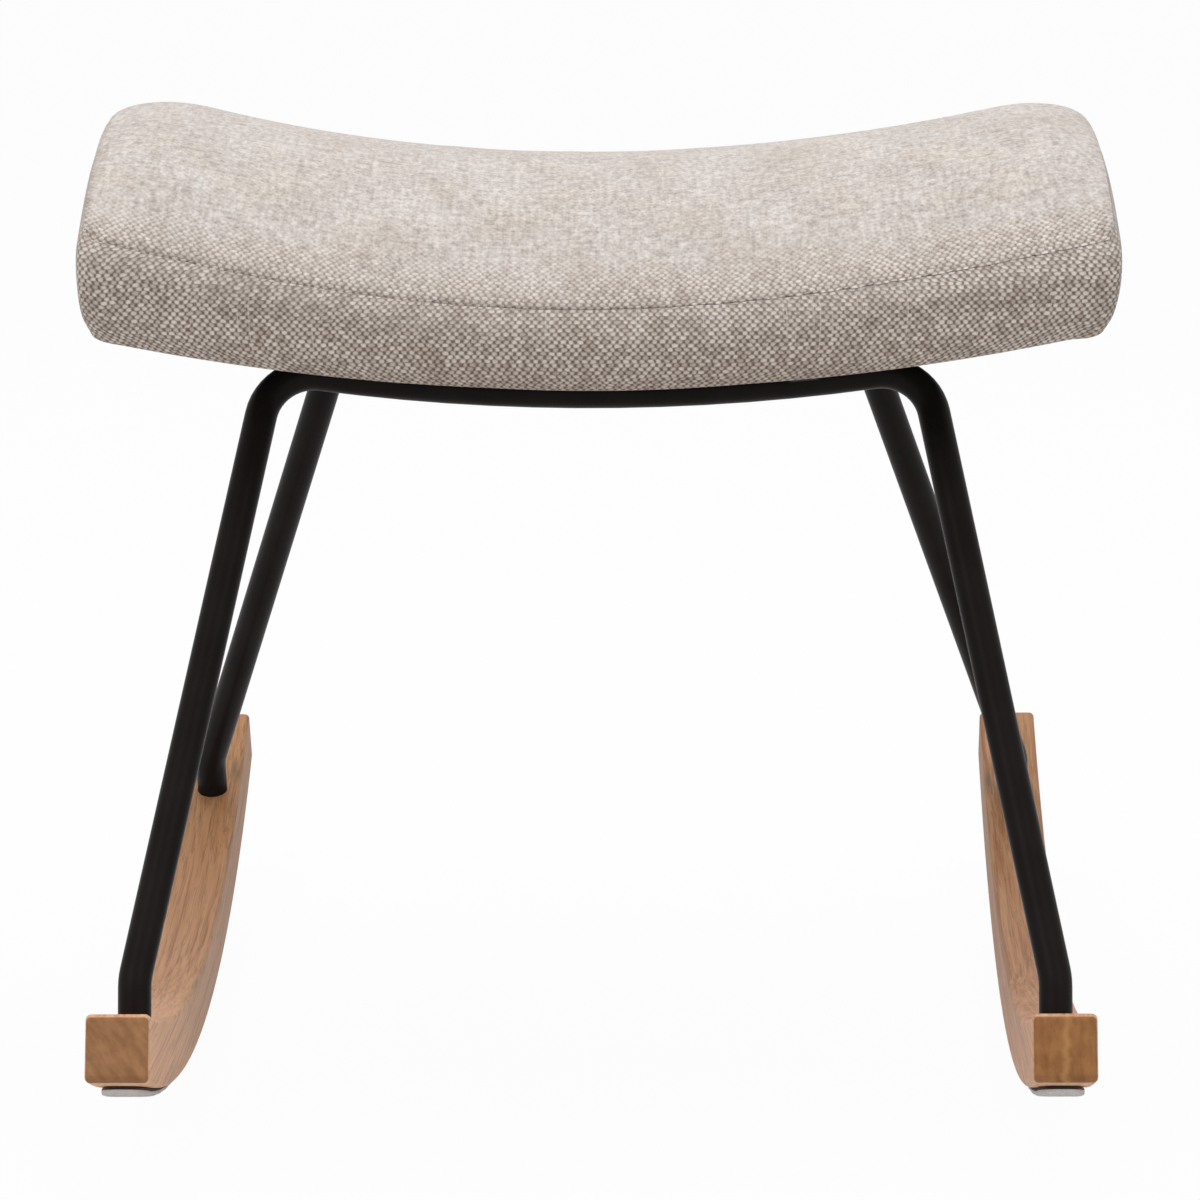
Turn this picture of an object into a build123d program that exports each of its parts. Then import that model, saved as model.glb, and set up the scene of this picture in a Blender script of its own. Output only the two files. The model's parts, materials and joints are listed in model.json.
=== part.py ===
from build123d import *
import os
from math import asin, atan2, cos, degrees, radians, sin, sqrt, tan

# Rocking footstool: two oak rockers, two bent steel tube frames that lean together
# under the seat, and a saddle-shaped upholstered seat that is bolted to two steel rails.
# Millimetres. X runs along the seat, -Y is the front, +Z is up, and Z = 0 is the floor.

# ---------------------------------------------------------------- driving dimensions
# Rockers
rocker_radius = 680.0            # underside of the oak, seen from the side
rocker_length = 556.0            # end to end, along the underside's chord
rocker_thickness = 32.0
rocker_width = 30.0
rocker_spacing = 438.0           # centre to centre
rocker_edge_radius = 2.5
rocker_corner_radius = 3.5       # corners of the end grain, seen from the side
felt_thickness = 3.0
felt_width = 21.0
felt_end_gap = 22.0              # bare oak at each end of a rocker
felt_edge_radius = 1.0

# Steel tube
tube_diameter = 16.0
tube_wall = 1.5
bend_radius = 26.0               # to the tube's centre line
foot_angle = 17.8                # where a leg stands, about the rocker's centre of curvature
stub_height = 19.5               # straight stub between the oak and the knee
socket_depth = 12.0              # how far a stub goes into the oak
socket_clearance = 0.15
frame_lean = 31.2                # of each frame, from upright
front_leg_splay = 10.7           # of a leg, within its leaning frame
rear_leg_splay = 15.7
crossbar_height = 337.2          # centre line of both crossbars, at the middle

# Rails between the crossbars and the seat
rail_size = 16.0
rail_wall = 1.5
rail_length = 136.0
rail_position = 100.0            # along X
rail_cope = 1.0                  # how deep a rail is notched over a crossbar
rail_corner_radius = 2.0
rail_inner_radius = 0.6
plug_head = 2.0
plug_depth = 9.0
plug_clearance = 0.1

# Fasteners
bolt_diameter = 6.0
bolt_hole = 6.6
bolt_head_diameter = 10.5
bolt_head_height = 3.3
hex_socket = 4.0                 # across flats
hex_depth = 2.0
thread_clearance = 0.05
washer_diameter = 12.5
washer_thickness = 1.6
rocker_bore_depth = 8.0          # of the counterbore under a rocker
rocker_bore_diameter = 14.0
insert_length = 20.0
insert_spare = 4.0               # thread of an insert that its bolt doesn't reach
head_rounding = 0.7              # of a bolt head's height
seat_bolt_spacing = 48.0         # along a rail
tee_flange_diameter = 19.0
tee_flange_thickness = 1.4
tee_barrel_diameter = 8.0
tee_barrel_length = 9.5

# Seat
seat_radius = 1110.0             # of the underside's bow
seat_depth = 320.0               # seam to seam
seat_width = 500.0               # at the fullest place of the ends
seat_corner_radius = 22.0        # in plan
band_height = 42.3               # underside to seam
crown_height = 33.0              # seam to top
shoulder_width = 60.0            # from the seam to where the crown flattens
shoulder_drop = 3.4              # of the crown, from the middle to the shoulder
band_bulge = 3.5                 # how far the front band stands out of its seam
band_fullest = 22.0              # height of that bulge
front_tuck = 8.0                 # how far the underside lies behind the front seam
end_tuck = 16.0                  # how far the underside lies inside the fullest width
end_fullest = 32.0               # height of the fullest place of an end
end_flat = 8.0                   # of an end, below its fullest place
end_top_fall = 22.0              # how far the crown rounds off towards an end
end_sections = 6                 # outlines that an end is lofted through
end_seam_inset = 6.0             # where the top panel meets an end panel
cover_thickness = 1.2
wadding_thickness = 4.0
cover_turn_under = 24.0
board_thickness = 12.0
board_inset = 1.0                # from the wadding
board_corner_radius = 16.0
dust_cover_thickness = 0.6
dust_cover_margin = 11.0
staple_crown = 10.0
staple_wire = 1.1
staple_pitch = 34.0
staple_margin = 5.0              # inside the dust cover's edge

# ---------------------------------------------------------------- derived places
tube_radius = tube_diameter / 2
rocker_centre_z = rocker_radius + felt_thickness
rocker_top_radius = rocker_radius - rocker_thickness
rocker_half_angle = degrees(asin(rocker_length / 2 / rocker_radius))
knee_radius = rocker_top_radius - stub_height

# The crossbars, the rails, the board and the seat all bend about one axis, along Y.
rail_bottom_radius = seat_radius + dust_cover_thickness + rail_size
crossbar_radius = rail_bottom_radius - rail_cope + tube_radius
seat_centre_z = crossbar_height + crossbar_radius
bow_radius = crossbar_radius * cos(radians(frame_lean))
rail_angle = degrees(asin(rail_position / seat_radius))

seat_top = band_height + crown_height
board_bottom = cover_thickness
board_top = board_bottom + board_thickness
foam_skin = cover_thickness + wadding_thickness
board_half_depth = seat_depth / 2 - front_tuck - foam_skin - board_inset
board_half_width = seat_width / 2 - end_tuck - foam_skin - board_inset

os.makedirs("parts", exist_ok=True)


def rocker_plane(angle, radius, x, side_up=1):
    """Plane at a point of the rocker's arc: its normal points to the arc's centre (or away)."""
    a = radians(angle)
    origin = (x, radius * sin(a), rocker_centre_z - radius * cos(a))
    return Plane(origin=origin, x_dir=(1, 0, 0), z_dir=(0, -side_up * sin(a), side_up * cos(a)))


def seat_point(x, height):
    """Point of the XZ plane at a height above the seat's bowed underside."""
    radius = seat_radius - height
    return (x, seat_centre_z - sqrt(radius**2 - x**2))


def seat_plane(angle, height=0.0, y=0.0):
    """Plane across the seat at an angle about its bow: local x is Y, local y is up."""
    a = radians(angle)
    radius = seat_radius - height
    origin = (radius * sin(a), y, seat_centre_z - radius * cos(a))
    return Plane(origin=origin, x_dir=(0, 1, 0), z_dir=(cos(a), 0, sin(a)))


def seat_normal_plane(angle, y, height):
    """Plane that lies on the bow at an angle, its normal pointing up to the bow's axis."""
    a = radians(angle)
    radius = seat_radius - height
    origin = (radius * sin(a), y, seat_centre_z - radius * cos(a))
    return Plane(origin=origin, x_dir=(cos(a), 0, sin(a)), z_dir=(-sin(a), 0, cos(a)))


def bow_band(low, high, half_width, half_depth):
    """A sheet between two heights above the underside, bowed like the seat."""
    with BuildPart() as band:
        with BuildSketch(Plane.XZ):
            with BuildLine():
                l1 = ThreePointArc(seat_point(-half_width, low), seat_point(0, low), seat_point(half_width, low))
                l2 = Line(l1 @ 1, seat_point(half_width, high))
                l3 = ThreePointArc(l2 @ 1, seat_point(0, high), seat_point(-half_width, high))
                Line(l3 @ 1, l1 @ 0)
            make_face()
        extrude(amount=half_depth, both=True)
    return band.part


# ---------------------------------------------------------------- rockers and felt
foot_angles = (-foot_angle, foot_angle)

for side, x in (("left", -rocker_spacing / 2), ("right", rocker_spacing / 2)):
    with BuildPart() as rocker:
        with BuildSketch(Plane.YZ.offset(x)) as outline:
            with Locations((0, rocker_centre_z)):
                Circle(rocker_radius)
                Circle(rocker_top_radius, mode=Mode.SUBTRACT)
            with BuildLine():
                reach = 2 * rocker_radius
                a = radians(rocker_half_angle)
                Polyline(
                    (0, rocker_centre_z),
                    (-reach * sin(a), rocker_centre_z - reach * cos(a)),
                    (reach * sin(a), rocker_centre_z - reach * cos(a)),
                    close=True,
                )
            make_face(mode=Mode.INTERSECT)
            fillet(outline.vertices(), rocker_corner_radius)
        extrude(amount=rocker_width / 2, both=True)
        side_faces = rocker.faces().filter_by(Axis.X)
        fillet(side_faces.edges(), rocker_edge_radius)
        for angle in foot_angles:
            with Locations(rocker_plane(angle, rocker_top_radius, x)):
                Hole(tube_radius + socket_clearance, depth=socket_depth)
            with Locations(rocker_plane(angle, rocker_radius, x, side_up=-1)):
                CounterBoreHole(bolt_hole / 2, rocker_bore_diameter / 2, rocker_bore_depth)
    rocker.part.label = f"rocker_{side}"
    export_step(rocker.part, f"parts/rocker_{side}.step")

    with BuildPart() as felt:
        with BuildSketch(Plane.YZ.offset(x)):
            with Locations((0, rocker_centre_z)):
                Circle(rocker_radius + felt_thickness)
                Circle(rocker_radius, mode=Mode.SUBTRACT)
            with BuildLine():
                reach = 2 * rocker_radius
                a = radians(rocker_half_angle) - felt_end_gap / rocker_radius
                Polyline(
                    (0, rocker_centre_z),
                    (-reach * sin(a), rocker_centre_z - reach * cos(a)),
                    (reach * sin(a), rocker_centre_z - reach * cos(a)),
                    close=True,
                )
            make_face(mode=Mode.INTERSECT)
        extrude(amount=felt_width / 2, both=True)
        lower_face = felt.faces().sort_by(Axis.Z)[0]
        fillet(lower_face.edges(), felt_edge_radius)
    felt.part.label = f"felt_strip_{side}"
    export_step(felt.part, f"parts/felt_strip_{side}.step")


# ---------------------------------------------------------------- bent tube frames
def frame_points(front_or_rear, splay):
    """The right half of a frame's centre line: stub end, knee, top bend and crossbar."""
    foot = rocker_plane(front_or_rear * foot_angle, rocker_top_radius, rocker_spacing / 2)
    knee = foot.origin + foot.z_dir * stub_height
    stub_end = foot.origin - foot.z_dir * socket_depth
    lean = radians(frame_lean)
    up_plane = Vector(0, -front_or_rear * sin(lean), cos(lean))
    frame = Plane(origin=(0, knee.Y, knee.Z), x_dir=(1, 0, 0), z_dir=Vector(1, 0, 0).cross(up_plane))
    crossbar = (crossbar_height - knee.Z) / cos(lean)

    # The top bend touches the straight leg and the bowed crossbar.
    s = radians(splay)
    along = Vector(-sin(s), cos(s))
    inward = Vector(-cos(s), -sin(s))
    start = Vector(rocker_spacing / 2, 0)
    bow_centre = Vector(0, crossbar + bow_radius)
    reach = start + inward * bend_radius - bow_centre
    drop = reach.dot(along)
    travel = -drop - sqrt(drop**2 - reach.dot(reach) + (bow_radius + bend_radius) ** 2)
    leg_top = start + along * travel
    bend_centre = leg_top + inward * bend_radius
    bar_end = bow_centre + (bend_centre - bow_centre) * (bow_radius / (bow_radius + bend_radius))
    outward = (leg_top - bend_centre) + (bar_end - bend_centre)
    bend_middle = bend_centre + outward.normalized() * bend_radius
    local_points = (leg_top, bend_middle, bar_end, Vector(0, crossbar))
    return [stub_end, knee] + [frame.from_local_coords(p) for p in local_points]


def mirrored(point):
    return Vector(-point.X, point.Y, point.Z)


frame_tubes = []
for end, front_or_rear, splay in (("front", -1, front_leg_splay), ("rear", 1, rear_leg_splay)):
    stub_end, knee, leg_top, bend_middle, bar_end, bar_middle = frame_points(front_or_rear, splay)
    with BuildPart() as frame_tube:
        with BuildLine() as centre_line:
            FilletPolyline(stub_end, knee, leg_top, radius=bend_radius)
            ThreePointArc(leg_top, bend_middle, bar_end)
            ThreePointArc(bar_end, bar_middle, mirrored(bar_end))
            ThreePointArc(mirrored(bar_end), mirrored(bend_middle), mirrored(leg_top))
            FilletPolyline(mirrored(leg_top), mirrored(knee), mirrored(stub_end), radius=bend_radius)
        with BuildSketch(Plane(origin=stub_end, z_dir=knee - stub_end)):
            Circle(tube_radius)
            Circle(tube_radius - tube_wall, mode=Mode.SUBTRACT)
        sweep(path=centre_line.wires()[0])
    frame_tube.part.label = f"{end}_frame_tube"
    export_step(frame_tube.part, f"parts/{end}_frame_tube.step")
    frame_tubes.append(frame_tube.part)

# ---------------------------------------------------------------- what holds tubes to oak
leg_feet = [(angle, x) for angle in foot_angles for x in (-rocker_spacing / 2, rocker_spacing / 2)]
stub_end_radius = rocker_top_radius + socket_depth
washer_seat_radius = rocker_radius - rocker_bore_depth

with BuildPart() as tube_inserts:
    for angle, x in leg_feet:
        with BuildSketch(rocker_plane(angle, stub_end_radius, x)):
            Circle(tube_radius - tube_wall)
            Circle(bolt_diameter / 2 + thread_clearance, mode=Mode.SUBTRACT)
        extrude(amount=insert_length)
tube_inserts.part.label = "tube_inserts"
export_step(tube_inserts.part, "parts/tube_inserts.step")

with BuildPart() as rocker_washers:
    for angle, x in leg_feet:
        with BuildSketch(rocker_plane(angle, washer_seat_radius, x, side_up=-1)):
            Circle(washer_diameter / 2)
            Circle(bolt_hole / 2, mode=Mode.SUBTRACT)
        extrude(amount=washer_thickness)
rocker_washers.part.label = "rocker_washers"
export_step(rocker_washers.part, "parts/rocker_washers.step")


def button_head_bolt(head_plane, shank_length):
    """Bolt with a domed head below head_plane and its shank along the plane's normal."""
    with BuildPart() as bolt:
        with BuildSketch(head_plane):
            Circle(bolt_diameter / 2)
        extrude(amount=shank_length)
        with BuildSketch(head_plane):
            Circle(bolt_head_diameter / 2)
        extrude(amount=-bolt_head_height)
        rim = bolt.edges().filter_by(GeomType.CIRCLE).sort_by(
            lambda e: head_plane.to_local_coords(e.center()).Z)[0]
        fillet(rim, bolt_head_height * head_rounding)
        with BuildSketch(head_plane.offset(-bolt_head_height)):
            RegularPolygon(hex_socket / 2, 6, major_radius=False)
        extrude(amount=hex_depth, mode=Mode.SUBTRACT)
    return bolt.part


rocker_head_radius = washer_seat_radius + washer_thickness
rocker_shank = rocker_head_radius - stub_end_radius + insert_length - insert_spare
with BuildPart() as rocker_bolts:
    for angle, x in leg_feet:
        add(button_head_bolt(rocker_plane(angle, rocker_head_radius, x), rocker_shank))
rocker_bolts.part.label = "rocker_bolts"
export_step(rocker_bolts.part, "parts/rocker_bolts.step")

# ---------------------------------------------------------------- seat rails
rail_bottom = -dust_cover_thickness - rail_size
rail_inner = rail_size - 2 * rail_wall
seat_bolt_places = [(a, y) for a in (-rail_angle, rail_angle)
                    for y in (-seat_bolt_spacing / 2, seat_bolt_spacing / 2)]


for side, angle in (("left", -rail_angle), ("right", rail_angle)):
    with BuildPart() as rail:
        base = seat_normal_plane(angle, 0, rail_bottom)
        section = Plane(origin=base.origin, x_dir=base.x_dir, z_dir=(0, -1, 0))
        with BuildSketch(section):
            with Locations((0, rail_size / 2)):
                RectangleRounded(rail_size, rail_size, rail_corner_radius)
                RectangleRounded(rail_inner, rail_inner, rail_inner_radius, mode=Mode.SUBTRACT)
        extrude(amount=rail_length / 2, both=True)
        # The rail is coped over both crossbars.
        add(frame_tubes, mode=Mode.SUBTRACT)
        for bolt_angle, y in seat_bolt_places:
            if bolt_angle == angle:
                with Locations(seat_normal_plane(angle, y, rail_bottom)):
                    Hole(bolt_hole / 2, depth=3 * rail_size)
    rail.part.label = f"seat_rail_{side}"
    export_step(rail.part, f"parts/seat_rail_{side}.step")

with BuildPart() as rail_plugs:
    for angle in (-rail_angle, rail_angle):
        base = seat_normal_plane(angle, 0, rail_bottom + rail_size / 2)
        for end in (-1, 1):
            mouth = Plane(
                origin=base.origin + Vector(0, end * rail_length / 2, 0),
                x_dir=base.x_dir,
                z_dir=(0, end, 0),
            )
            with BuildSketch(mouth):
                RectangleRounded(rail_size, rail_size, rail_corner_radius)
            extrude(amount=plug_head)
            stem = rail_inner - 2 * plug_clearance
            with BuildSketch(mouth):
                RectangleRounded(stem, stem, rail_inner_radius)
            extrude(amount=-plug_depth)
rail_plugs.part.label = "rail_plugs"
export_step(rail_plugs.part, "parts/rail_plugs.step")


# ---------------------------------------------------------------- seat form
def seat_section(across, inset, narrowing, low_rise, top_fall):
    """Closed outline across the seat, on a plane made by seat_plane, drawn in by an inset."""
    half_depth = seat_depth / 2 - inset
    bottom, top = inset, seat_top - inset
    shoulder = (seat_depth / 2 - shoulder_width, top - shoulder_drop)
    seam = (half_depth, band_height - inset / 2)

    # The shoulder is an arc that leaves the crown along its tangent and ends at the seam.
    crown_slope = 2 * atan2(shoulder_drop, shoulder[0])
    chord_y, chord_z = seam[0] - shoulder[0], seam[1] - shoulder[1]
    half_turn = atan2(-chord_z, chord_y) - crown_slope
    chord = sqrt(chord_y**2 + chord_z**2)
    sagitta = chord / 2 * tan(half_turn / 2)
    shoulder_middle = (
        (shoulder[0] + seam[0]) / 2 - chord_z / chord * sagitta,
        (shoulder[1] + seam[1]) / 2 + chord_y / chord * sagitta,
    )

    def place(side, point):
        share = (point[1] - bottom) / (top - bottom)
        low, high = bottom + low_rise, top - top_fall
        return (side * point[0] * (half_depth - narrowing) / half_depth, low + share * (high - low))

    foot = (half_depth - front_tuck, bottom)
    belly = (half_depth + band_bulge, band_fullest)
    with BuildSketch(across) as section:
        with BuildLine():
            Line(place(-1, foot), place(1, foot))
            ThreePointArc(place(1, foot), place(1, belly), place(1, seam))
            ThreePointArc(place(1, seam), place(1, shoulder_middle), place(1, shoulder))
            ThreePointArc(place(1, shoulder), place(1, (0, top)), place(-1, shoulder))
            ThreePointArc(place(-1, shoulder), place(-1, shoulder_middle), place(-1, seam))
            ThreePointArc(place(-1, seam), place(-1, belly), place(-1, foot))
        make_face()
    return section


def quarter_round(radius, travel):
    """How far a quarter circle has fallen back at a distance before its end."""
    if travel >= radius:
        return 0.0
    return radius - sqrt(radius**2 - (radius - travel) ** 2)


def seat_form(inset):
    """The upholstered form, or the form that lies inset within it."""
    corner = seat_corner_radius - inset
    tuck = end_tuck - inset / 2
    end_angle = degrees((seat_width / 2 - inset) / (seat_radius - end_fullest))
    per_mm = degrees(1 / (seat_radius - end_fullest))
    body_angle = end_angle - corner * per_mm
    with BuildPart() as form:
        body = seat_section(seat_plane(-body_angle), inset, 0, 0, 0)
        bow_axis = Axis((0, 0, seat_centre_z), (0, -1, 0))
        revolve(body.sketch, axis=bow_axis, revolution_arc=2 * body_angle)
        for side in (-1, 1):
            sections = []
            for step in range(end_sections + 1):
                turn = radians(90 * step / end_sections)
                travel = corner * (1 - sin(turn))
                across = seat_plane(side * (end_angle - travel * per_mm))
                low_rise = quarter_round(tuck, travel) / tuck * (end_fullest - inset - end_flat)
                top_fall = quarter_round(corner, travel) / corner * end_top_fall
                narrowing = quarter_round(corner, travel)
                sections.append(seat_section(across, inset, narrowing, low_rise, top_fall).sketch)
            loft(sections=sections)
    return form


outer_form = seat_form(0)
lining_form = seat_form(cover_thickness)
foam_form = seat_form(foam_skin)

# ---------------------------------------------------------------- seat board and foam
with BuildPart() as board_blank:
    add(bow_band(board_bottom, board_top, board_half_width, board_half_depth))
    fillet(board_blank.edges().filter_by(Axis.Z), board_corner_radius)

with BuildPart() as seat_board:
    add(board_blank.part)
    for angle, y in seat_bolt_places:
        with Locations(seat_normal_plane(angle, y, board_top)):
            Hole(tee_barrel_diameter / 2, depth=2 * board_thickness)
        # The flange is pressed flat into the bowed board.
        with BuildSketch(seat_normal_plane(angle, y, board_top)):
            Circle(tee_flange_diameter / 2 + socket_clearance)
        extrude(amount=tee_flange_thickness, mode=Mode.SUBTRACT)
seat_board.part.label = "seat_board"
export_step(seat_board.part, "parts/seat_board.step")

# The foam lies on the board and reaches down round its edge.
with BuildPart() as foam_pad:
    add(foam_form.part)
    add(board_blank.part, mode=Mode.SUBTRACT)
    for angle, y in seat_bolt_places:
        with BuildSketch(seat_normal_plane(angle, y, board_top)):
            Circle(tee_flange_diameter / 2 + socket_clearance)
        extrude(amount=tee_flange_thickness + socket_clearance, mode=Mode.SUBTRACT)
foam_pad.part.label = "foam_pad"
export_step(foam_pad.part, "parts/foam_pad.step")

with BuildPart() as wadding:
    add(lining_form.part)
    add(foam_form.part, mode=Mode.SUBTRACT)
    inner_width = board_half_width + board_inset
    inner_depth = board_half_depth + board_inset
    add(bow_band(-board_top, foam_skin + board_inset, inner_width, inner_depth), mode=Mode.SUBTRACT)
wadding.part.label = "wadding"
export_step(wadding.part, "parts/wadding.step")

# ---------------------------------------------------------------- cover panels
window_half_width = seat_width / 2 - end_tuck - cover_turn_under
window_half_depth = seat_depth / 2 - front_tuck - cover_turn_under
with BuildPart() as cover:
    add(outer_form.part)
    add(lining_form.part, mode=Mode.SUBTRACT)
    add(
        bow_band(-board_top, cover_thickness + board_inset, window_half_width, window_half_depth),
        mode=Mode.SUBTRACT,
    )

top_zone = bow_band(band_height, 2 * seat_top, seat_width / 2 - end_seam_inset, seat_depth)
band_zone = bow_band(-board_top, band_height, seat_width, seat_depth)

with BuildPart() as cover_top:
    add(cover.part)
    add(top_zone, mode=Mode.INTERSECT)
cover_top.part.label = "cover_top"
export_step(cover_top.part, "parts/cover_top.step")

corner_x, corner_y = seat_width / 2, seat_depth / 2 + band_bulge
band_parts = []
for end, front_or_rear in (("front", -1), ("back", 1)):
    with BuildPart() as cover_band:
        with BuildSketch(Plane.XY):
            # The bands and the end panels are mitred at the corners.
            with BuildLine():
                Polyline(
                    (corner_x - corner_y, 0),
                    (corner_x + corner_y, front_or_rear * 2 * corner_y),
                    (-corner_x - corner_y, front_or_rear * 2 * corner_y),
                    (corner_y - corner_x, 0),
                    close=True,
                )
            make_face()
        extrude(amount=2 * crossbar_height)
        add(band_zone, mode=Mode.INTERSECT)
        add(cover.part, mode=Mode.INTERSECT)
    cover_band.part.label = f"cover_{end}_band"
    export_step(cover_band.part, f"parts/cover_{end}_band.step")
    band_parts.append(cover_band.part)

for side, keep in (("left", Keep.BOTTOM), ("right", Keep.TOP)):
    with BuildPart() as cover_end:
        add(cover.part)
        add(cover_top.part, mode=Mode.SUBTRACT)
        add(band_parts, mode=Mode.SUBTRACT)
        split(bisect_by=Plane.YZ, keep=keep)
    cover_end.part.label = f"cover_end_{side}"
    export_step(cover_end.part, f"parts/cover_end_{side}.step")

# ---------------------------------------------------------------- underside
dust_half_width = seat_width / 2 - end_tuck - dust_cover_margin
dust_half_depth = seat_depth / 2 - front_tuck - dust_cover_margin
with BuildPart() as dust_cover:
    add(bow_band(-dust_cover_thickness, 0, dust_half_width, dust_half_depth))
    for angle, y in seat_bolt_places:
        with Locations(seat_normal_plane(angle, y, 0)):
            Hole(bolt_hole / 2, depth=2 * board_thickness)
dust_cover.part.label = "dust_cover"
export_step(dust_cover.part, "parts/dust_cover.step")

staple_half_width = dust_half_width - staple_margin
staple_half_depth = dust_half_depth - staple_margin
staples_along = round(2 * staple_half_width / staple_pitch)
staples_across = round(2 * staple_half_depth / staple_pitch)
with BuildPart() as staples:
    for i in range(staples_along):
        x = staple_half_width * ((2 * i + 1) / staples_along - 1)
        for y in (-staple_half_depth, staple_half_depth):
            angle = degrees(asin(x / seat_radius))
            with BuildSketch(seat_normal_plane(angle, y, -dust_cover_thickness)):
                Rectangle(staple_crown, staple_wire)
            extrude(amount=-staple_wire / 2)
    for i in range(staples_across):
        y = staple_half_depth * ((2 * i + 1) / staples_across - 1)
        for x in (-staple_half_width, staple_half_width):
            angle = degrees(asin(x / seat_radius))
            with BuildSketch(seat_normal_plane(angle, y, -dust_cover_thickness)):
                Rectangle(staple_wire, staple_crown)
            extrude(amount=-staple_wire / 2)
staples.part.label = "staples"
export_step(staples.part, "parts/staples.step")

# ---------------------------------------------------------------- seat fasteners
with BuildPart() as tee_nuts:
    for angle, y in seat_bolt_places:
        with BuildSketch(seat_normal_plane(angle, y, board_top)):
            Circle(tee_flange_diameter / 2)
        extrude(amount=tee_flange_thickness)
        with BuildSketch(seat_normal_plane(angle, y, board_top)):
            Circle(tee_barrel_diameter / 2)
        extrude(amount=-tee_barrel_length)
        with BuildSketch(seat_normal_plane(angle, y, board_top + tee_flange_thickness)):
            Circle(bolt_diameter / 2 + thread_clearance)
        extrude(amount=-tee_flange_thickness - tee_barrel_length, mode=Mode.SUBTRACT)
tee_nuts.part.label = "tee_nuts"
export_step(tee_nuts.part, "parts/tee_nuts.step")

with BuildPart() as seat_washers:
    for angle, y in seat_bolt_places:
        with BuildSketch(seat_normal_plane(angle, y, rail_bottom)):
            Circle(washer_diameter / 2)
            Circle(bolt_hole / 2, mode=Mode.SUBTRACT)
        extrude(amount=-washer_thickness)
seat_washers.part.label = "seat_washers"
export_step(seat_washers.part, "parts/seat_washers.step")

seat_head_height = rail_bottom - washer_thickness
with BuildPart() as seat_bolts:
    for angle, y in seat_bolt_places:
        head_plane = seat_normal_plane(angle, y, seat_head_height)
        add(button_head_bolt(head_plane, board_top - seat_head_height))
seat_bolts.part.label = "seat_bolts"
export_step(seat_bolts.part, "parts/seat_bolts.step")
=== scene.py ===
"""Rocking footstool: its looks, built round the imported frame.

The tube frames, rockers, rails and fasteners are the CAD nodes with node materials. The
sewn cover with its filling is one padded piece: three grids of points that share their
edges, simulated as cloth. Metres everywhere, except where a name ends in _MM.
"""

import json
import math

import bpy
import numpy as np
from numpy.polynomial.polynomial import polyval
from mathutils import Matrix, Vector


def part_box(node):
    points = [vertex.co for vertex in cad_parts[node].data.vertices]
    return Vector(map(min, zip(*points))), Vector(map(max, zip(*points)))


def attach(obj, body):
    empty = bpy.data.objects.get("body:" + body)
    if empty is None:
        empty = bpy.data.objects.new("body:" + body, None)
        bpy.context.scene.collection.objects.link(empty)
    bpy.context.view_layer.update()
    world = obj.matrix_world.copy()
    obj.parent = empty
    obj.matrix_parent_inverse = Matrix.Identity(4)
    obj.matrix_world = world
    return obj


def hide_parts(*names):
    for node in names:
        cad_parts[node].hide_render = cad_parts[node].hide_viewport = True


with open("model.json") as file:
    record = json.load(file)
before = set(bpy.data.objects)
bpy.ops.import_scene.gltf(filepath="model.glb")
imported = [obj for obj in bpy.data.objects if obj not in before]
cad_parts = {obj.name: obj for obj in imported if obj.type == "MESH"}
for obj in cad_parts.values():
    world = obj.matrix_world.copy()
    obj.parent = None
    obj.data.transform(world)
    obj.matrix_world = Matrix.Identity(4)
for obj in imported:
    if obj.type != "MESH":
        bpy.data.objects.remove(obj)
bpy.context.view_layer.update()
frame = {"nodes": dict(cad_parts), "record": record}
scene = bpy.context.scene
MM = 0.001

# ------------------------------------------------------------------ seat form, millimetres
# A pair gives the left and the right side, where its comment says nothing else. A longer
# row gives the terms of a polynomial in the share of the half width, constant term first.
BOW_RADIUS_MM = 1110.0            # of the underside
BOW_CENTRE_Z_MM = 1470.8
FLAT_RADIUS_MM = 1078.0           # where a flat width keeps its length
SEAM_HALF_WIDTH_MM = 247.0
SEAM_HALF_DEPTH_MM = 151.2
SEAM_HEIGHT_MM = 40.4
CORNER_RADIUS_MM = 10.0
BARREL_MM = 7.9                   # how far an end stands out at mid-depth
CROWN_MM = (43.1, 0.5, -8.9, -1.0, 8.0)
LIFT_MM = (0.0, -0.8, 12.4, -2.2, -6.3)  # of the whole seat off its bow
FOOT_LIFT_MM = 0.6                # the most of that lift at the board
END_ARCH_MM = (28.1, 28.2)        # rise of the end seam at mid-depth
SHOULDER_START = (0.817, 0.839)   # share of the half width where the shoulder begins
SHOULDER_POWER = (0.97, 0.78)
CROWN_POWERS = (2.41, 0.85)       # of the share along y, and of what is left of 1
COVER_TURN = (0.014, 0.022)       # radians that the cover is askew, at the board and the seam
SEAT_SHIFT_MM = 0.5               # of the cover, to the right
ON_END = 0.9999                   # from this share of the half width on, a rim point is an end's

# The band below the seam, and the foot where the cover turns under
FOOT_HALF_WIDTH_MM = 233.5
FOOT_HALF_DEPTH_MM = 152.3
FOOT_ROUND_MM = 3.5
END_TAPER, FRONT_TAPER = 1.6, 2   # powers by which the half sizes pass from seam to foot
BAND_BULGE_MM = (3.1, 7.0)        # of an end and of the front, halfway down
CORNER_SAG_MM = (0.4, 1.5)        # of the folded cloth at the two front corners
CORNER_REACH_MM = 9.5
SAG_FLARE = 0.8                   # how far a sagging corner stands out, as a share of its sag

# The crease that the stitches draw in along the seam
CREASE_MM = (1.5, 1.2)            # its depth in the top panel and in the band
CREASE_REACH_MM = 3.4
STITCH_WAVES = ((0.16, 2.1, 0.0), (0.12, 4.9, 1.0))  # share, length over 2 pi in mm, phase
CREASE_FADE = (0.76, 0.46, 90.0)  # share at the middle, its loss to the right, mm of that

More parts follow.
